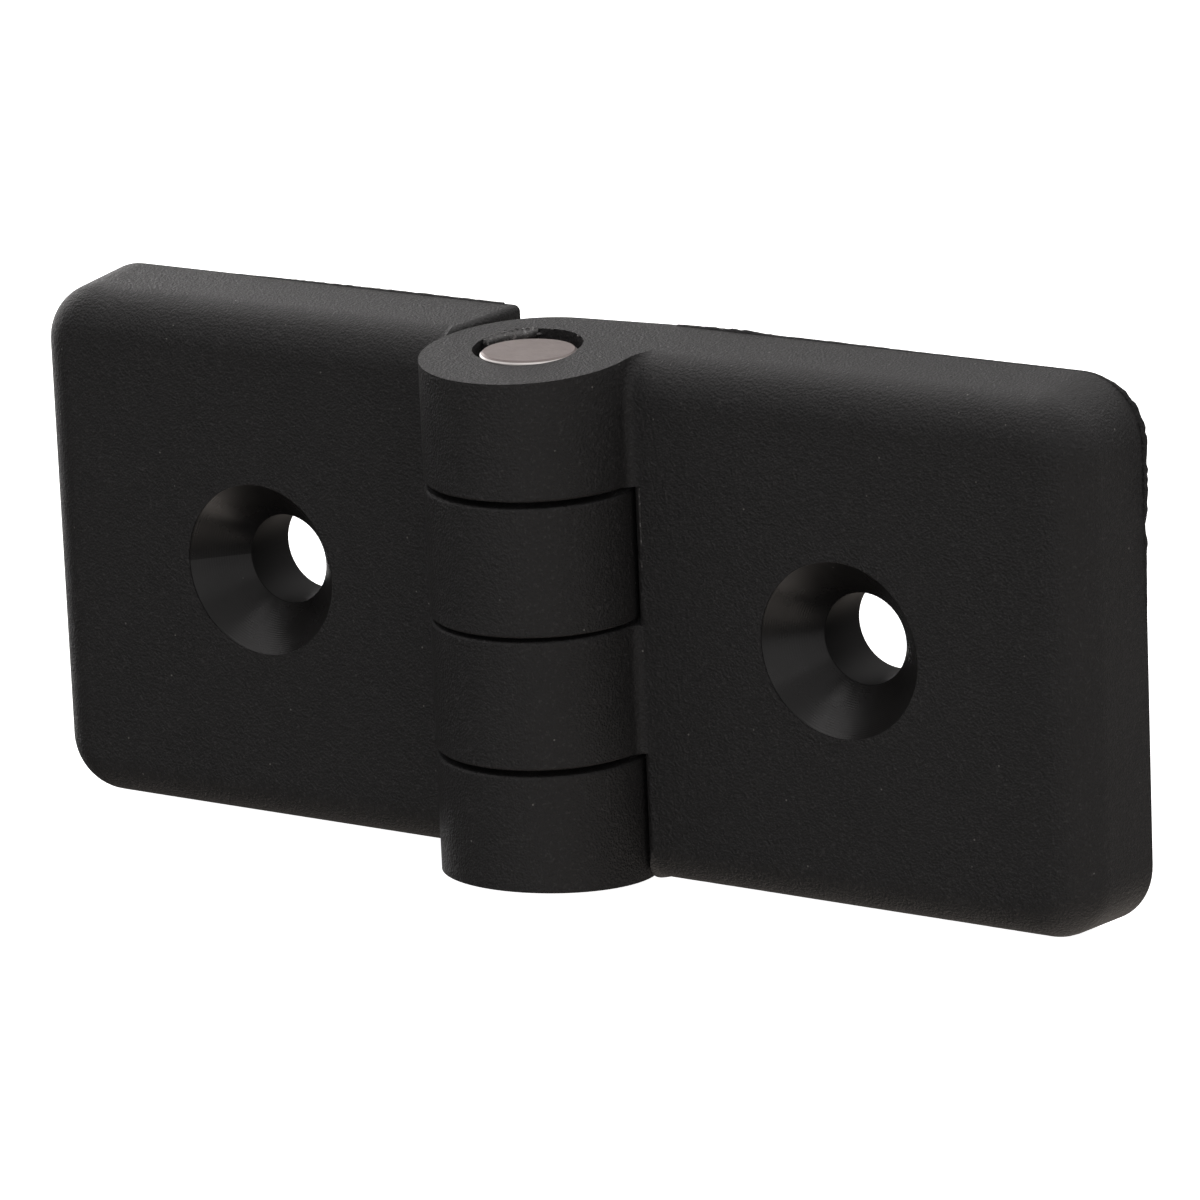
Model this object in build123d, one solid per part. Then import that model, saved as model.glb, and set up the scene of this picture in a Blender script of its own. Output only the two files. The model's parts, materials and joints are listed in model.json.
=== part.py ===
from build123d import *
import math
import os

# Heavy two-leaf door hinge in moulded plastic on a plain steel pin, shown opened flat.
# The origin is on the pin axis at half height. Z runs along the pin, X runs out along
# the leaves and the leaves screw down on the face that looks towards +Y.

# Leaf, millimetres
leaf_height = 50.45
leaf_reach = 57.0
back_y = 10.9
front_y = 0.4
draft_angle = 4.2
outline_corner_radius = 6.0
front_rounding = 4.1

# Knuckles: each leaf has one at its end and one just past the middle
knuckle_radius = 10.0
end_knuckle_start = 12.85
inner_knuckle_near = 0.08
inner_knuckle_far = 12.1
rim_rounding = 0.3

# The knuckles have end float, and the left leaf sits this much higher than the right one
end_float_offset = 0.2

# Clearance of a leaf's end face around the other leaf's knuckles
swing_clearance = 0.3
leaf_end_back_x = 8.2
leaf_end_rounding = 0.8
end_corner_rounding = 0.6
root_fillet_radius = 1.0

# Pin and its bores
pin_diameter = 8.9
pin_length = 49.0
pin_chamfer = 0.3
running_clearance = 0.05
bore_mouth_diameter = 10.1
bore_mouth_offset = (-0.95, 1.25)
bore_mouth_floor = 22.5

# Screw holes, one in each leaf
screw_hole_x = 31.5
screw_hole_diameter = 8.5
countersink_diameter = 16.3
countersink_angle = 82.0
countersink_step = 0.12

# Working values: a length past every face, a small overrun of cutting solids, a tolerance
beyond = 15.0
overrun = 1.0
same_size = 0.01
quarter_turn = 90.0

leaf_thickness = back_y - front_y


def back_plane():
    """Sketch plane on the back face, with its normal pointing to the front."""
    return Plane(origin=(0, back_y, 0), x_dir=(1, 0, 0), z_dir=(0, -1, 0))


def plate_blank():
    """Flat plate of the leaf, drafted from the back face and rounded at the front."""
    outline = Pos(leaf_reach / 2, 0) * Rectangle(leaf_reach, leaf_height)
    outer_corners = outline.vertices().sort_by(Axis.X)[-2:]
    outline = fillet(outer_corners, outline_corner_radius)
    blank = extrude(back_plane() * outline, leaf_thickness, taper=draft_angle)
    front_face = blank.faces().sort_by(Axis.Y)[0]
    front_loop = front_face.edges().sort_by(Axis.X)[1:]
    return fillet(front_loop, front_rounding)


def tangent_angle(side):
    """Direction of the knuckle radius that meets the face through the leaf's back corner."""
    corner_distance = math.hypot(leaf_end_back_x, back_y)
    corner_direction = math.atan2(back_y, leaf_end_back_x)
    radius = knuckle_radius if side > 0 else knuckle_radius + swing_clearance
    return corner_direction + side * math.acos(radius / corner_distance)


def polar(radius, angle):
    """Point at a distance and direction from the pin axis."""
    return (radius * math.cos(angle), radius * math.sin(angle))


def drafted_envelope():
    """Space between the sloping upper and lower faces of the leaf."""
    span = 2 * (knuckle_radius + beyond)
    depth = back_y + knuckle_radius + overrun
    return extrude(back_plane() * Rectangle(span, leaf_height), depth, taper=draft_angle)


def knuckle_column():
    """Round knuckle and the root that joins it to the plate, over the full height."""
    touch = polar(knuckle_radius, tangent_angle(1))
    root_corners = [
        (0, 0),
        (knuckle_radius, 0),
        (knuckle_radius, back_y),
        (leaf_end_back_x, back_y),
        touch,
    ]
    root = make_face(Polyline(*root_corners, close=True))
    profile = Circle(knuckle_radius) + root
    column = extrude(profile, leaf_height / 2, both=True)
    return column & drafted_envelope()


def back_relief():
    """Wedge of space behind the knuckle, in front of the back plane."""
    touch = polar(knuckle_radius, tangent_angle(1))
    corners = [
        touch,
        (leaf_end_back_x, back_y),
        (leaf_end_back_x, back_y + overrun),
        (touch[0], back_y + overrun),
    ]
    wedge = make_face(Polyline(*corners, close=True))
    return extrude(wedge, leaf_height, both=True)


def swing_profile():
    """Plan of the space the other leaf's knuckle turns in, up to the leaf's end face."""
    radius = knuckle_radius + swing_clearance
    wall_angle = tangent_angle(-1)
    front_angle = math.asin(front_y / radius)
    wall_start = polar(radius, wall_angle)
    wall_middle = polar(radius, (wall_angle + front_angle) / 2)
    edge_point = polar(radius, front_angle)
    far_right = radius + 2 * overrun
    behind = back_y + overrun
    lines = [
        Line((leaf_end_back_x, behind), (leaf_end_back_x, back_y)),
        Line((leaf_end_back_x, back_y), wall_start),
        ThreePointArc(wall_start, wall_middle, edge_point),
        Line(edge_point, (far_right, front_y)),
        Line((far_right, front_y), (far_right, -beyond)),
        Line((far_right, -beyond), (-beyond, -beyond)),
        Line((-beyond, -beyond), (-beyond, behind)),
        Line((-beyond, behind), (leaf_end_back_x, behind)),
    ]
    profile = make_face(lines)
    edge_vertex = profile.vertices().sort_by_distance((edge_point[0], edge_point[1], 0))[0]
    return fillet(edge_vertex, leaf_end_rounding)


def swing_spaces():
    """Spaces cut in the leaf for the other leaf's two knuckles."""
    profile = swing_profile()
    inner_height = end_knuckle_start + inner_knuckle_near
    inner = Pos(0, 0, -inner_knuckle_near) * extrude(profile, inner_height)
    outer = Pos(0, 0, -leaf_height) * extrude(profile, leaf_height - inner_knuckle_far)
    return inner + outer


def end_corner():
    """Cut that rounds the corner between the leaf's end wall and its lower face."""
    wall_start = polar(knuckle_radius + swing_clearance, tangent_angle(-1))
    rise = (back_y - wall_start[1]) * math.tan(math.radians(draft_angle))
    start = Vector(leaf_end_back_x, back_y, -leaf_height / 2)
    finish = Vector(wall_start[0], wall_start[1], rise - leaf_height / 2)
    along = (finish - start).normalized()
    across = Vector(0, 0, 1).cross(along)
    section_plane = Plane(origin=start - along * overrun, x_dir=across, z_dir=along)
    side = end_corner_rounding + overrun
    middle = side / 2 - overrun
    corner = Pos(middle, middle) * Rectangle(side, side)
    section = corner - Pos(end_corner_rounding, end_corner_rounding) * Circle(end_corner_rounding)
    return extrude(section_plane * section, (finish - start).length + leaf_thickness)


def knuckle_bore(diameter):
    """Pin bore through the knuckles, with its wider mouth off centre at the end knuckle."""
    bore = Cylinder(diameter / 2, leaf_height + 2 * overrun)
    mouth_height = leaf_height / 2 + overrun - bore_mouth_floor
    mouth_middle = bore_mouth_floor + mouth_height / 2
    mouth = Cylinder(bore_mouth_diameter / 2, mouth_height)
    return bore + Pos(bore_mouth_offset[0], bore_mouth_offset[1], mouth_middle) * mouth


def screw_hole():
    """Through hole for the leaf's fixing screw, with its countersink sunk a little."""
    axis_plane = Plane(origin=(screw_hole_x, front_y, 0), x_dir=(1, 0, 0), z_dir=(0, 1, 0))
    through = extrude(axis_plane * Circle(screw_hole_diameter / 2), leaf_thickness + overrun)
    half_angle = math.radians(countersink_angle / 2)
    cone_depth = (countersink_diameter - screw_hole_diameter) / 2 / math.tan(half_angle)
    step = extrude(axis_plane * Circle(countersink_diameter / 2), countersink_step)
    cone = axis_plane * Pos(0, 0, countersink_step + cone_depth / 2) * Cone(
        countersink_diameter / 2, screw_hole_diameter / 2, cone_depth
    )
    return through + step + cone


def root_fillet():
    """Fillet in the corner between the knuckle side and the front of the plate."""
    centre = (knuckle_radius + root_fillet_radius, front_y - root_fillet_radius)
    corner = Pos(knuckle_radius, front_y) * Rectangle(
        2 * root_fillet_radius, 2 * root_fillet_radius
    )
    section = corner - Pos(centre[0], centre[1]) * Circle(root_fillet_radius)
    slope = math.radians(draft_angle)
    rounding_y = front_y + front_rounding
    edge_height = leaf_height / 2 - (back_y - rounding_y) * math.tan(slope)
    rounding_z = edge_height - front_rounding / math.cos(slope)
    straight = extrude(section, rounding_z, both=True)
    upper_axis = Axis((0, rounding_y, rounding_z), (-1, 0, 0))
    upper = revolve(Pos(0, 0, rounding_z) * section, upper_axis, quarter_turn)
    lower = mirror(upper, Plane.XY)
    return (straight + upper + lower) & drafted_envelope()


def knuckle_rims(body):
    """Round outer edges at the level ends of the knuckles."""
    found = []
    for edge in body.edges().filter_by(GeomType.CIRCLE):
        if abs(edge.radius - knuckle_radius) < same_size and edge.length > knuckle_radius:
            found.append(edge)
    return found


def leaf(bore_diameter):
    """One leaf, lying towards +X with its end knuckle at the top."""
    body = plate_blank() + knuckle_column()
    body = body - back_relief()
    body = body + root_fillet()
    body = body - swing_spaces()
    body = fillet(knuckle_rims(body), rim_rounding)
    body = body - end_corner()
    body = body - knuckle_bore(bore_diameter)
    body = body - screw_hole()
    return body


def hinge_pin():
    """Plain steel pin with a small chamfer at each end."""
    pin = Cylinder(pin_diameter / 2, pin_length)
    ends = pin.edges().filter_by(GeomType.CIRCLE)
    return chamfer(ends, pin_chamfer)


def main():
    right_leaf = leaf(pin_diameter)
    loose_leaf = leaf(pin_diameter + 2 * running_clearance)
    left_leaf = Pos(0, 0, end_float_offset) * Rot(0, 2 * quarter_turn, 0) * loose_leaf
    export_step(right_leaf, "parts/leaf_right.step")
    export_step(left_leaf, "parts/leaf_left.step")
    export_step(hinge_pin(), "parts/hinge_pin.step")


os.makedirs("parts", exist_ok=True)
main()
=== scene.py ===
import json
import math
import random

import bmesh
import bpy
from mathutils import Matrix, Vector


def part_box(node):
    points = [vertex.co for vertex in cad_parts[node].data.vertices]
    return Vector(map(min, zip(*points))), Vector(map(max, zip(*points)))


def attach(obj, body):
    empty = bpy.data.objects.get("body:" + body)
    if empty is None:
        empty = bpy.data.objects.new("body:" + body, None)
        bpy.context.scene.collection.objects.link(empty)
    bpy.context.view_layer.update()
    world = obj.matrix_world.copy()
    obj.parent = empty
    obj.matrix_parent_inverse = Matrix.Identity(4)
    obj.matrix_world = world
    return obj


# Looks of the door hinge: two black moulded leaves on a steel pin, opened flat.
# Everything is in metres in the frame of the CAD model: Z along the pin, X along the
# leaves, and the knuckles standing out towards -Y.

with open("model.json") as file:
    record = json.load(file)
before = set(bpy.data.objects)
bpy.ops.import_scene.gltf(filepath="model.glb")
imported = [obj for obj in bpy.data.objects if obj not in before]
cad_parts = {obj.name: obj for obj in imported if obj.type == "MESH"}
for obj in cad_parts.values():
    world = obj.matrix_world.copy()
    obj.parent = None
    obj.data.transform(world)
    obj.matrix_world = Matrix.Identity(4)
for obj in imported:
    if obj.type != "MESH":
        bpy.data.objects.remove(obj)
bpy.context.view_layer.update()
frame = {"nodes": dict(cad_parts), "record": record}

MM = 0.001

# Camera, at the photograph's viewing angle
CAMERA_AZIMUTH = math.radians(33.82)
CAMERA_ELEVATION = math.radians(15.39)
CAMERA_ROLL = math.radians(-2.37)
CAMERA_DISTANCE = 0.7076
CAMERA_TARGET = Vector((0.00658, 0.0, 0.00191))
CAMERA_LENS = 235.4
CAMERA_SENSOR = 36.0
CAMERA_NEAR = 0.01
CAMERA_FAR = 50.0

# Soft boxes: their distance from the hinge and how wide each one looks from there
LIGHT_DISTANCE = 1.2
LIGHT_SPREAD = math.radians(45)

# Each soft box: name, azimuth and elevation in degrees, radiance, colour. Azimuth 0 is in
# front of the hinge and 90 is on its right. The last three stand for light off the table.
DAYLIGHT = (1.0, 0.975, 0.972)
BOUNCE = (1.0, 0.90, 0.82)
SOFT_BOXES = (
    ("overhead", 0, 90, 1.35, DAYLIGHT),
    ("front_top", 0, 45, 0.16, DAYLIGHT),
    ("right_top", 60, 45, 0.33, DAYLIGHT),
    ("back_right_top", 120, 45, 0.76, DAYLIGHT),
    ("back_top", 180, 45, 1.20, DAYLIGHT),
    ("back_left_top", 240, 45, 1.25, DAYLIGHT),
    ("left_top", 300, 45, 0.80, DAYLIGHT),
    ("front_low", 0, 5, 1.23, DAYLIGHT),
    ("right_low", 60, 5, 0.56, DAYLIGHT),
    ("back_right_low", 120, 5, 0.55, DAYLIGHT),
    ("back_low", 180, 5, 0.30, DAYLIGHT),
    ("back_left_low", 240, 5, 2.90, DAYLIGHT),
    ("left_low", 300, 5, 0.12, DAYLIGHT),
    ("table_below", 0, -90, 1.40, BOUNCE),
    ("table_behind", 180, -45, 0.80, BOUNCE),
    ("table_right", 90, -45, 0.62, BOUNCE),
)

# Faint even light from all round
WORLD_COLOUR = (1.0, 0.98, 0.96, 1.0)
WORLD_STRENGTH = 0.035

# Floor: half of its side, how far it lies below the hinge, and its paint
FLOOR_HALF = 6.0
FLOOR_DROP = 0.5 * MM
FLOOR_COLOUR = (0.9, 0.9, 0.9, 1.0)
FLOOR_ROUGHNESS = 0.9
FLOOR_GLOW = (1.0, 1.0, 1.0, 1.0)

# Measures of the model, read from the frame
BORES = [m for m in frame["record"]["mounts"] if m["kind"] == "bore"]
HOLES = {m["name"]: Vector(m["pos_m"]) for m in BORES}
HOLE_RADIUS = BORES[0]["dims"]["r_mm"] * MM
RIGHT_LOW, RIGHT_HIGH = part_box("leaf_right")
LEFT_TOP_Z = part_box("leaf_left")[1].z
PIN_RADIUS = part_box("hinge_pin")[1].x
BACK_Y = RIGHT_HIGH.y

# Measures of the model that the frame does not hold
COUNTERSINK_RADIUS = 8.15 * MM
CONE_END_Y = 7.0 * MM
FRONT_Y = 0.4 * MM
DRAFT_SLOPE = math.tan(math.radians(4.2))
CORNER_RADIUS = 6.0 * MM
PIN_CHAMFER = 0.3 * MM
MOUTH_CENTRE = Vector((-0.95 * MM, 1.25 * MM))
MOUTH_RADIUS = 5.05 * MM

# Most of a noise lies between these two values
NOISE_RANGE = (0.3, 0.7)

# Leaf plastic: colours, roughness, gloss, and texture scales in features per metre
PLASTIC_DARK = (0.0125, 0.0121, 0.0123, 1)
PLASTIC_LIGHT = (0.0192, 0.0184, 0.0186, 1)
PLASTIC_GRAIN = (0.054, 0.052, 0.052, 1)
PLASTIC_MACHINED = (0.0135, 0.0127, 0.0125, 1)
DUST = (0.30, 0.29, 0.27, 1)
DUST_COVER = 0.7
MOULDED_ROUGHNESS = (0.48, 0.68)
MACHINED_ROUGHNESS = (0.24, 0.34)
BORE_ROUGHNESS = 0.6
PLASTIC_GLOSS = 0.5
BORE_GLOSS = 0.16
PLASTIC_IOR = 1.5
GRAIN_SCALE = 3000.0
GRAIN_PEAKS = (0.5, 0.76)
GRAIN_CELLS = 4200.0
CELLS_SHARE = 0.6
CLOUD_SCALE = 160.0
DUST_SCALE = 420.0
DUST_EDGE = (0.02, 0.05)
GRAIN_BUMP = 0.30 * MM
GRAIN_BUMP_STRENGTH = 0.5
RING_PITCH = 0.16 * MM
RING_BREAKS = 900.0
RING_BUMP = 0.006 * MM
RING_BUMP_STRENGTH = 0.6

# Pin steel: colours, roughness, a painted highlight along the chamfer's outer rim, painted shade
# on the rest of the chamfer, and textures
STEEL_DARK = (0.315, 0.273, 0.26, 1)
STEEL_LIGHT = (0.455, 0.40, 0.386, 1)
STEEL_MARK = (0.26, 0.223, 0.205, 1)
# Painted shade: the chamfer gets a darker steel colour that holds down the bright reflections it
# catches
STEEL_PAINTED_CHAMFER_SHADE = (0.27, 0.235, 0.225, 1)
# Painted highlight: a bright steel colour in a thin band at the chamfer's outer rim stands in for
# the light line that edge catches; its roughness and width follow
STEEL_PAINTED_HIGHLIGHT = (0.72, 0.69, 0.67, 1)
STEEL_ROUGHNESS = (0.38, 0.55)
PAINTED_HIGHLIGHT_ROUGHNESS = 0.4
PAINTED_HIGHLIGHT_WIDTH = 0.13 * MM
STEEL_BLUR = 0.02 * MM
STEEL_STRETCH = (1.0, 6.0, 1.0)
ONTO_XY = (1.0, 1.0, 0.0)
MARK_SCALE = 1500.0
MARK_PEAKS = (0.55, 0.8)
STEEL_CLOUD_SCALE = 500.0
MARK_BUMP = 0.01 * MM
MARK_BUMP_STRENGTH = 0.5

# Torn plastic of the burr and of the ridge in the notch
TORN_DARK = (0.014, 0.013, 0.012, 1)
TORN_LIGHT = (0.045, 0.043, 0.042, 1)
TORN_STREAK = (0.20, 0.19, 0.185, 1)
TORN_ROUGHNESS = (0.30, 0.55)
STREAK_SCALE = 2600.0
STREAK_PEAKS = (0.54, 0.66)
TORN_CLOUD_SCALE = 700.0
STREAK_BUMP = 0.10 * MM
STREAK_BUMP_STRENGTH = 0.6

# Seeds of the random draws, one for each piece made here
RIGHT_FLASH_SEED = 11
LEFT_FLASH_SEED = 12
NOTCH_SEED = 13
BURR_SEED = 14

# Flash on the parting line. Each pair is a place along the edge in millimetres, or in
# degrees round the corner, and the width of the flash there in millimetres.
TOP_FLASH = ((9, 0.10), (12, 0.20), (15.6, 0.27), (20, 0.13), (28, 0.11), (33, 0.06),
             (51, 0.03))
CORNER_FLASH = ((0, 0.40), (25, 0.46), (45, 0.34), (65, 0.10), (90, 0.03))
END_FLASH = ((3, 0.02), (9, 0.16), (10.9, 0.27), (11.2, 0.04), (12.3, 0.05), (12.6, 0.30),
             (16, 0.42), (19.3, 0.40))
LEFT_FLASH = ((-40, 0.03), (-33, 0.10), (-22, 0.15), (-10, 0.13))
LEFT_FLASH_STATIONS = 68
FLASH_STEP_MM = 0.45
FLASH_CORNER_STEP = 4
FLASH_START_X = 9.0 * MM
FLASH_END_Z = 3.0 * MM
FLASH_LEAST = 0.02 * MM
FLASH_ROOT = 0.30 * MM
FLASH_RAGGED = (0.72, 1.15)

# Ridge of flash in the notch, made from its upper end downwards. It is strong in two
# stretches and weak in the rest.
NOTCH_TOP_MM = 12.75
NOTCH_STEP_MM = 0.21
NOTCH_RINGS = 44
NOTCH_SIDES = 8
NOTCH_X = 10.98 * MM
NOTCH_WANDER_MM = 0.02
NOTCH_WIDTH_RAGGED = (0.7, 1.1)
NOTCH_HEIGHT_RAGGED = (0.8, 1.1)
NOTCH_HALF_WIDTH = 0.15 * MM
NOTCH_HEIGHT = 0.20 * MM
NOTCH_SUNK = 0.12 * MM
NOTCH_WEAK = 0.35
NOTCH_STRONG_ABOVE = 7.2 * MM
NOTCH_STRONG_AGAIN = (5.2 * MM, 6.0 * MM)

# Burr over the pin hole's mouth: where it starts and how far round it goes in degrees
BURR_START = 116
BURR_SWEEP = 50
BURR_STEPS = 40
BURR_ACROSS = 6
BURR_DEPTH = 0.9 * MM
BURR_EDGE_DROP = 0.16 * MM
BURR_LAP_LIFT = 0.02 * MM

# Burr, in millimetres: gap to the pin and lap over the mouth's edge, how ragged both are,
# and how rough its top is
BURR_GAP = 0.75
BURR_LAP = 0.15
BURR_RAGGED = 0.25
BURR_ROUGH = (-0.09, 0.06)

# The burr narrows over its first eighth, by this share of its width
BURR_TAPER_RATE = 8
BURR_TAPER = 0.6

# Each chip of the burr: direction in degrees, distance from the pin's axis and size, both
# in millimetres
BURR_CHIPS = (
    (112, 4.95, 0.20),
    (124, 6.75, 0.22),
    (133, 6.95, 0.26),
    (141, 7.05, 0.22),
    (146, 6.9, 0.16),
    (104, 6.3, 0.15),
    (70, 5.6, 0.16),
    (55, 5.35, 0.14),
)
CHIP_SHAPE = (1.2, 0.8, 0.7)
CHIP_SWELL = (0.7, 1.2)
CHIP_SUNK = 0.04 * MM


class Shader:
    """Small helper that adds nodes to a material and links them."""

    def __init__(self, name):
        self.material = bpy.data.materials.new(name)
        self.material.use_nodes = True
        self.tree = self.material.node_tree
        self.tree.nodes.clear()
        self.output = self.tree.nodes.new("ShaderNodeOutputMaterial")

    def add(self, kind, settings=None, **inputs):
        """A node with its settings, and its input sockets as values or links."""
        node = self.tree.nodes.new(kind)
        for key, value in (settings or {}).items():
            setattr(node, key, value)
        for key, value in inputs.items():
            self.put(node.inputs[key.replace("_", " ")], value)
        return node

    def put(self, socket, value):
        """Links a socket to another one, or sets its constant value."""
        if isinstance(value, bpy.types.NodeSocket):
            self.tree.links.new(value, socket)
        else:
            socket.default_value = value

    def position(self):
        """Surface point in metres in the CAD frame."""
        return self.add("ShaderNodeTexCoord").outputs["Object"]

    def parts(self, vector):
        """The X, Y and Z outputs of a vector."""
        return self.add("ShaderNodeSeparateXYZ", Vector=vector).outputs

    def math(self, operation, first, second=0.0, third=0.0):
        """One arithmetic step."""
        node = self.tree.nodes.new("ShaderNodeMath")
        node.operation = operation
        for socket, value in zip(node.inputs, (first, second, third)):
            self.put(socket, value)
        return node.outputs[0]

    def ramp(self, value, low, high, to_low=0.0, to_high=1.0):
        """Smooth step of a value between two limits."""
        node = self.add("ShaderNodeMapRange", {"interpolation_type": "SMOOTHSTEP"})
        for name, number in (("Value", value), ("From Min", low), ("From Max", high),
                             ("To Min", to_low), ("To Max", to_high)):
            self.put(node.inputs[name], number)
        return node.outputs["Result"]

    def noise(self, vector, scale, detail=2.0, roughness=0.5):
        """Soft noise around 0.5."""
        node = self.add("ShaderNodeTexNoise", Vector=vector, Scale=scale, Detail=detail,
                        Roughness=roughness)
        return node.outputs["Fac"]

    def cells(self, vector, scale):
        """Distance to the nearest of many scattered points."""
        return self.add("ShaderNodeTexVoronoi", Vector=vector, Scale=scale).outputs["Distance"]

    def mix(self, factor, first, second):
        """Blend of two colours."""
        node = self.add("ShaderNodeMix", {"data_type": "RGBA"})
        self.put(node.inputs["Factor"], factor)
        self.put(node.inputs[6], first)
        self.put(node.inputs[7], second)
        return node.outputs[2]

    def mix_numbers(self, factor, first, second):
        """Blend of two numbers."""
        node = self.add("ShaderNodeMix", {"data_type": "FLOAT"})
        self.put(node.inputs[0], factor)
        self.put(node.inputs[2], first)
        self.put(node.inputs[3], second)
        return node.outputs[0]

    def bump(self, height, distance, strength, normal=None):
        """Surface normal tilted by a height."""
        node = self.add("ShaderNodeBump", Height=height, Distance=distance, Strength=strength)
        if normal is not None:
            self.put(node.inputs["Normal"], normal)
        return node.outputs["Normal"]

    def surface(self, **inputs):
        """The surface itself. Returns its shader node and the finished material."""
        node = self.add("ShaderNodeBsdfPrincipled", **inputs)
        self.tree.links.new(node.outputs[0], self.output.inputs["Surface"])
        return node, self.material


def hole_distance(shader, position, hole):
    """Distance of a surface point from the axis of a screw hole."""
    parts = shader.parts(position)
    side = shader.math("SUBTRACT", parts["X"], hole.x)
    height = shader.math("SUBTRACT", parts["Z"], hole.z)
    square = shader.math("MULTIPLY", side, side)
    return shader.math("SQRT", shader.math("MULTIPLY_ADD", height, height, square))


def leaf_plastic(name, hole):
    """Black moulded plastic with a fine grain, a turned countersink and a rough bore."""
    shader = Shader(name)
    position = shader.position()
    distance = hole_distance(shader, position, hole)

    # Masks with soft edges: inside the countersink's rim, in front of the cone's end, in the
    # straight bore, and every machined surface
    rim = COUNTERSINK_RADIUS - 0.02 * MM
    inside = shader.ramp(distance, rim, rim + 0.03 * MM, 1.0, 0.0)
    depth = shader.parts(position)["Y"]
    front = shader.ramp(depth, CONE_END_Y, CONE_END_Y + 0.1 * MM, 1.0, 0.0)
    bored = shader.ramp(distance, HOLE_RADIUS + 0.01 * MM, HOLE_RADIUS + 0.06 * MM, 1.0, 0.0)
    machined = shader.math("MAXIMUM", shader.math("MULTIPLY", inside, front), bored)

    grain = shader.noise(position, GRAIN_SCALE, detail=3.0, roughness=0.7)
    cells = shader.cells(position, GRAIN_CELLS)
    cloud = shader.noise(position, CLOUD_SCALE, detail=4.0, roughness=0.6)
    dust = shader.ramp(shader.cells(position, DUST_SCALE), *DUST_EDGE, 1.0, 0.0)

    tone = shader.mix(cloud, PLASTIC_DARK, PLASTIC_LIGHT)
    tone = shader.mix(shader.ramp(grain, *GRAIN_PEAKS), tone, PLASTIC_GRAIN)
    tone = shader.mix(machined, tone, PLASTIC_MACHINED)
    tone = shader.mix(shader.math("MULTIPLY", dust, DUST_COVER), tone, DUST)

    rough = shader.ramp(grain, *NOISE_RANGE, *MOULDED_ROUGHNESS)
    turned = shader.ramp(cloud, *NOISE_RANGE, *MACHINED_ROUGHNESS)
    rough = shader.mix_numbers(machined, rough, turned)
    rough = shader.mix_numbers(bored, rough, BORE_ROUGHNESS)
    gloss = shader.mix_numbers(bored, PLASTIC_GLOSS, BORE_GLOSS)

    texture = shader.math("ADD", grain, shader.math("MULTIPLY", cells, CELLS_SHARE))
    texture = shader.math("MULTIPLY", texture, shader.math("SUBTRACT", 1.0, machined))
    normal = shader.bump(texture, GRAIN_BUMP, GRAIN_BUMP_STRENGTH)
    rings = shader.math("SINE", shader.math("MULTIPLY", distance, 2 * math.pi / RING_PITCH))
    rings = shader.math("MULTIPLY", rings, shader.noise(position, RING_BREAKS))
    rings = shader.math("MULTIPLY", rings, machined)
    normal = shader.bump(rings, RING_BUMP, RING_BUMP_STRENGTH, normal)

    surface, material = shader.surface(Base_Color=tone, Roughness=rough,
                                       Specular_IOR_Level=gloss, Normal=normal)
    surface.inputs["IOR"].default_value = PLASTIC_IOR
    return material


def pin_steel():
    """Sheared steel end of the pin, mottled, with fine marks, painted shade on the chamfer and a
    painted highlight along its outer rim.
    """
    shader = Shader("pin_steel")
    position = shader.position()
    stretched = shader.add("ShaderNodeMapping", Vector=position, Scale=STEEL_STRETCH).outputs[0]
    marks = shader.noise(stretched, MARK_SCALE, detail=4.0, roughness=0.65)
    cloud = shader.noise(position, STEEL_CLOUD_SCALE, detail=3.0, roughness=0.6)
    level = shader.add("ShaderNodeMapping", Vector=position, Scale=ONTO_XY).outputs[0]
    length = shader.add("ShaderNodeVectorMath", {"operation": "LENGTH"}, Vector=level)
    radius = length.outputs["Value"]
    chamfer_start = PIN_RADIUS - PIN_CHAMFER
    # Mask of the chamfer, where the steel colour is darkened as painted shade
    chamfer = shader.ramp(radius, chamfer_start - STEEL_BLUR, chamfer_start + STEEL_BLUR)
    # Mask of the thin outer band of the chamfer, where the painted highlight goes
    painted_highlight_start = PIN_RADIUS - PAINTED_HIGHLIGHT_WIDTH
    rim = shader.ramp(radius, painted_highlight_start - STEEL_BLUR, painted_highlight_start + STEEL_BLUR)

    tone = shader.mix(cloud, STEEL_DARK, STEEL_LIGHT)
    tone = shader.mix(shader.ramp(marks, *MARK_PEAKS), tone, STEEL_MARK)
    # Painted shade on the chamfer
    tone = shader.mix(chamfer, tone, STEEL_PAINTED_CHAMFER_SHADE)
    # Painted highlight along the chamfer's outer rim
    tone = shader.mix(rim, tone, STEEL_PAINTED_HIGHLIGHT)
    rough = shader.ramp(marks, *NOISE_RANGE, *STEEL_ROUGHNESS)
    rough = shader.mix_numbers(rim, rough, PAINTED_HIGHLIGHT_ROUGHNESS)
    normal = shader.bump(marks, MARK_BUMP, MARK_BUMP_STRENGTH)
    surface, material = shader.surface(Base_Color=tone, Roughness=rough, Normal=normal)
    surface.inputs["Metallic"].default_value = 1.0
    return material


def burr_plastic():
    """Torn edge of the same plastic: paler and smoother where it was smeared."""
    shader = Shader("burr_plastic")
    position = shader.position()
    streaks = shader.noise(position, STREAK_SCALE, detail=4.0, roughness=0.7)
    cloud = shader.noise(position, TORN_CLOUD_SCALE, detail=3.0, roughness=0.6)
    tone = shader.mix(cloud, TORN_DARK, TORN_LIGHT)
    tone = shader.mix(shader.ramp(streaks, *STREAK_PEAKS), tone, TORN_STREAK)
    rough = shader.ramp(streaks, *NOISE_RANGE, *TORN_ROUGHNESS)
    normal = shader.bump(streaks, STREAK_BUMP, STREAK_BUMP_STRENGTH)
    return shader.surface(Base_Color=tone, Roughness=rough, Normal=normal)[1]


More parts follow.
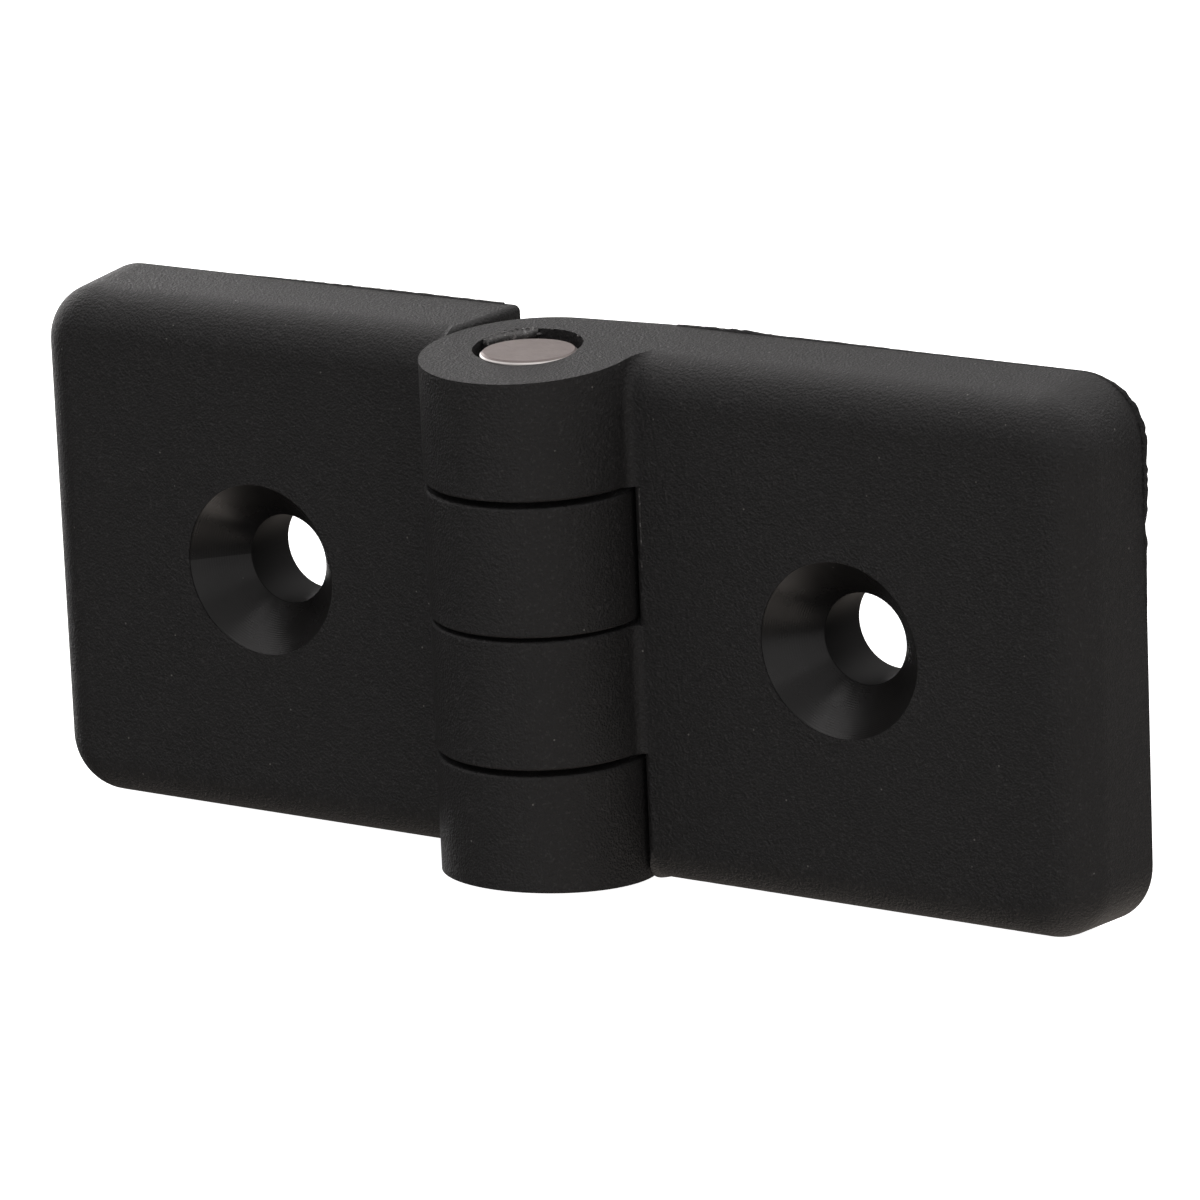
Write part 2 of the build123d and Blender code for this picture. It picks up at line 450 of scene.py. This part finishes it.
def floor_paint():
    """Pale studio floor, lit so strongly that it stays white."""
    surface, material = Shader("studio_floor").surface()
    surface.inputs["Base Color"].default_value = FLOOR_COLOUR
    surface.inputs["Roughness"].default_value = FLOOR_ROUGHNESS
    surface.inputs["Emission Color"].default_value = FLOOR_GLOW
    surface.inputs["Emission Strength"].default_value = 1.0
    return material


def dress(node, material):
    """Gives a CAD node its material."""
    piece = frame["nodes"][node]
    piece.data.materials.clear()
    piece.data.materials.append(material)


def new_piece(name, skin, body, material):
    """Turns a bmesh into a smooth-shaded piece that rides on a body."""
    bmesh.ops.recalc_face_normals(skin, faces=skin.faces)
    mesh = bpy.data.meshes.new(name)
    skin.to_mesh(mesh)
    skin.free()
    for polygon in mesh.polygons:
        polygon.use_smooth = True
    piece = bpy.data.objects.new(name, mesh)
    bpy.context.scene.collection.objects.link(piece)
    mesh.materials.append(material)
    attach(piece, body)


def loft(rings):
    """Closed skin through equal rings of points, with flat ends."""
    skin = bmesh.new()
    rows = [[skin.verts.new(point) for point in ring] for ring in rings]
    count = len(rows[0])
    for row, following in zip(rows, rows[1:]):
        for i in range(count):
            j = (i + 1) % count
            skin.faces.new((row[i], row[j], following[j], following[i]))
    skin.faces.new(rows[0])
    skin.faces.new(rows[-1])
    return skin


def between(knots, place):
    """Value at a place along a list of (place, value) knots."""
    for (low, first), (high, last) in zip(knots, knots[1:]):
        if low <= place <= high:
            return first + (last - first) * (place - low) / (high - low)
    return knots[0][1] if place < knots[0][0] else knots[-1][1]


def mould_flash(name, stations, body, material, seed):
    """Thin ragged fin in the parting plane. A station is a point, its outward way and width."""
    chance = random.Random(seed)
    rings = []
    for (x, z), (out_x, out_z), width in stations:
        reach = max(FLASH_LEAST, width * chance.uniform(*FLASH_RAGGED))
        # Section of the fin: distance out of the edge, and depth measured from the back face
        section = (
            (-FLASH_ROOT, -0.03 * MM),
            (reach * 0.6, -0.03 * MM),
            (reach, -0.06 * MM),
            (reach * 0.9, -0.11 * MM),
            (reach * 0.4, -0.24 * MM),
            (-FLASH_ROOT, -0.36 * MM),
        )
        rings.append([(x + out_x * a, BACK_Y + b, z + out_z * a) for a, b in section])
    new_piece(name, loft(rings), body, material)


def right_flash(material):
    """Flash along the top and down the free end of the right leaf."""
    step = FLASH_STEP_MM * MM
    end_x = RIGHT_HIGH.x
    top_z = RIGHT_HIGH.z
    turn_x = end_x - CORNER_RADIUS
    turn_z = top_z - CORNER_RADIUS
    stations = []
    x = FLASH_START_X
    while x < turn_x:
        stations.append(((x, top_z), (0, 1), between(TOP_FLASH, x / MM) * MM))
        x += step
    for degrees in range(90, -1, -FLASH_CORNER_STEP):
        a = math.radians(degrees)
        place = (turn_x + CORNER_RADIUS * math.cos(a), turn_z + CORNER_RADIUS * math.sin(a))
        width = between(CORNER_FLASH, degrees) * MM
        stations.append((place, (math.cos(a), math.sin(a)), width))
    z = turn_z - step
    while z > FLASH_END_Z:
        stations.append(((end_x, z), (1, 0), between(END_FLASH, z / MM) * MM))
        z -= step
    mould_flash("mould_flash_right", stations, "fixed_leaf", material, RIGHT_FLASH_SEED)


def left_flash(material):
    """Flash along the top of the left leaf."""
    stations = []
    for step in range(LEFT_FLASH_STATIONS):
        x = (LEFT_FLASH[0][0] + step * FLASH_STEP_MM) * MM
        stations.append(((x, LEFT_TOP_Z), (0, 1), between(LEFT_FLASH, x / MM) * MM))
    mould_flash("mould_flash_left", stations, "moving_leaf", material, LEFT_FLASH_SEED)


def notch_flash(material):
    """Fine ridge of flash on the front edge of the right leaf, beside the other leaf's knuckle."""
    chance = random.Random(NOTCH_SEED)
    again_low, again_high = NOTCH_STRONG_AGAIN
    rings = []
    for step in range(NOTCH_RINGS):
        z = (NOTCH_TOP_MM - step * NOTCH_STEP_MM) * MM
        strong = z > NOTCH_STRONG_ABOVE or again_low < z < again_high
        strength = 1.0 if strong else NOTCH_WEAK
        half_width = NOTCH_HALF_WIDTH * strength * chance.uniform(*NOTCH_WIDTH_RAGGED)
        height = NOTCH_HEIGHT * strength * chance.uniform(*NOTCH_HEIGHT_RAGGED)
        centre_x = NOTCH_X + chance.uniform(-NOTCH_WANDER_MM, NOTCH_WANDER_MM) * MM
        ring = []
        for corner in range(NOTCH_SIDES):
            a = 2 * math.pi * corner / NOTCH_SIDES
            ring.append((centre_x + half_width * math.cos(a),
                         FRONT_Y + NOTCH_SUNK - height * math.sin(a), z))
        rings.append(ring)
    new_piece("notch_flash", loft(rings), "fixed_leaf", material)


def top_level(y):
    """Height of the sloping top face of the right leaf at a depth y."""
    return RIGHT_HIGH.z - (BACK_Y - y) * DRAFT_SLOPE


def mouth_distance(direction):
    """Distance from the pin's axis to the edge of the off-centre mouth, in a direction."""
    along = MOUTH_CENTRE.dot(direction)
    across = MOUTH_CENTRE.length_squared - along * along
    return along + math.sqrt(MOUTH_RADIUS ** 2 - across)


def burr_skin(chance):
    """The smeared band of the burr, ragged along its inner and outer edges."""
    rings = []
    for step in range(BURR_STEPS + 1):
        share = step / BURR_STEPS
        a = math.radians(BURR_START + BURR_SWEEP * share)
        direction = Vector((math.cos(a), math.sin(a)))
        mouth = mouth_distance(direction)
        inner = PIN_RADIUS + (BURR_GAP + BURR_RAGGED * chance.random()) * MM
        inner += (mouth - inner) * max(0.0, 1 - BURR_TAPER_RATE * share) * BURR_TAPER
        outer = mouth + (BURR_LAP + BURR_RAGGED * chance.random()) * MM
        ring = []
        for i in range(BURR_ACROSS + 1):
            place = direction * (inner + (outer - inner) * i / BURR_ACROSS)
            lift = chance.uniform(*BURR_ROUGH) * MM
            if i == 0:
                lift -= BURR_EDGE_DROP
            if i == BURR_ACROSS:
                lift = BURR_LAP_LIFT
            ring.append((place.x, place.y, top_level(place.y) + lift))
        for radius in (outer, inner):
            place = direction * radius
            ring.append((place.x, place.y, top_level(place.y) - BURR_DEPTH))
        rings.append(ring)
    return loft(rings)


def mouth_burr(material):
    """Plastic smeared over the far left of the pin hole's mouth, with torn edges."""
    chance = random.Random(BURR_SEED)
    skin = burr_skin(chance)
    for degrees, radius, size in BURR_CHIPS:
        a = math.radians(degrees)
        x = radius * math.cos(a) * MM
        y = radius * math.sin(a) * MM
        made = bmesh.ops.create_icosphere(skin, subdivisions=2, radius=size * MM)
        centre = Vector((x, y, top_level(y) - CHIP_SUNK))
        for vert in made["verts"]:
            swell = chance.uniform(*CHIP_SWELL)
            offset = Vector([share * part for share, part in zip(CHIP_SHAPE, vert.co)])
            vert.co = centre + offset * swell
    new_piece("mouth_burr", skin, "fixed_leaf", material)


def studio_floor():
    """A plain pale floor just under the hinge."""
    level = RIGHT_LOW.z - FLOOR_DROP
    mesh = bpy.data.meshes.new("studio_floor")
    corners = [
        (-FLOOR_HALF, -FLOOR_HALF, level),
        (FLOOR_HALF, -FLOOR_HALF, level),
        (FLOOR_HALF, FLOOR_HALF, level),
        (-FLOOR_HALF, FLOOR_HALF, level),
    ]
    mesh.from_pydata(corners, [], [(0, 1, 2, 3)])
    floor = bpy.data.objects.new("studio_floor", mesh)
    bpy.context.scene.collection.objects.link(floor)
    mesh.materials.append(floor_paint())
    floor.visible_diffuse = False
    floor.visible_glossy = False
    floor.visible_shadow = False


def soft_light(name, azimuth, elevation, radiance, tint):
    """Round soft box that faces the hinge. Azimuth 0 is in front of it, at -Y."""
    light = bpy.data.lights.new(name, "AREA")
    light.shape = "DISK"
    light.size = 2 * LIGHT_DISTANCE * math.tan(LIGHT_SPREAD / 2)
    light.energy = radiance * math.pi * math.pi * (light.size / 2) ** 2
    light.color = tint
    lamp = bpy.data.objects.new(name, light)
    bpy.context.scene.collection.objects.link(lamp)
    a = math.radians(azimuth)
    e = math.radians(elevation)
    direction = Vector((math.sin(a) * math.cos(e), -math.cos(a) * math.cos(e), math.sin(e)))
    lamp.location = direction * LIGHT_DISTANCE
    lamp.rotation_euler = direction.to_track_quat("Z", "Y").to_euler()
    lamp.visible_camera = False


def studio_world():
    """Faint even light from all round."""
    world = bpy.data.worlds.new("studio_world")
    world.use_nodes = True
    background = world.node_tree.nodes["Background"]
    background.inputs["Color"].default_value = WORLD_COLOUR
    background.inputs["Strength"].default_value = WORLD_STRENGTH
    bpy.context.scene.world = world


def camera():
    """Camera at the photograph's viewing angle."""
    back = Vector((
        math.sin(CAMERA_AZIMUTH) * math.cos(CAMERA_ELEVATION),
        -math.cos(CAMERA_AZIMUTH) * math.cos(CAMERA_ELEVATION),
        math.sin(CAMERA_ELEVATION),
    ))
    level_right = Vector((0.0, 0.0, 1.0)).cross(back).normalized()
    level_up = back.cross(level_right)
    right = math.cos(CAMERA_ROLL) * level_right + math.sin(CAMERA_ROLL) * level_up
    up = -math.sin(CAMERA_ROLL) * level_right + math.cos(CAMERA_ROLL) * level_up
    data = bpy.data.cameras.new("camera")
    data.sensor_width = CAMERA_SENSOR
    data.lens = CAMERA_LENS
    data.clip_start = CAMERA_NEAR
    data.clip_end = CAMERA_FAR
    view = bpy.data.objects.new("camera", data)
    bpy.context.scene.collection.objects.link(view)
    turn = Matrix((right, up, back)).transposed().to_4x4()
    view.matrix_world = Matrix.Translation(CAMERA_TARGET + back * CAMERA_DISTANCE) @ turn
    bpy.context.scene.camera = view


bpy.context.scene.view_settings.view_transform = "Standard"
camera()
studio_world()
studio_floor()
for soft_box in SOFT_BOXES:
    soft_light(*soft_box)

right_plastic = leaf_plastic("leaf_right_plastic", HOLES["screw_hole_right"])
left_plastic = leaf_plastic("leaf_left_plastic", HOLES["screw_hole_left"])
torn_plastic = burr_plastic()
dress("leaf_right", right_plastic)
dress("leaf_left", left_plastic)
dress("hinge_pin", pin_steel())
right_flash(right_plastic)
left_flash(left_plastic)
notch_flash(torn_plastic)
mouth_burr(torn_plastic)
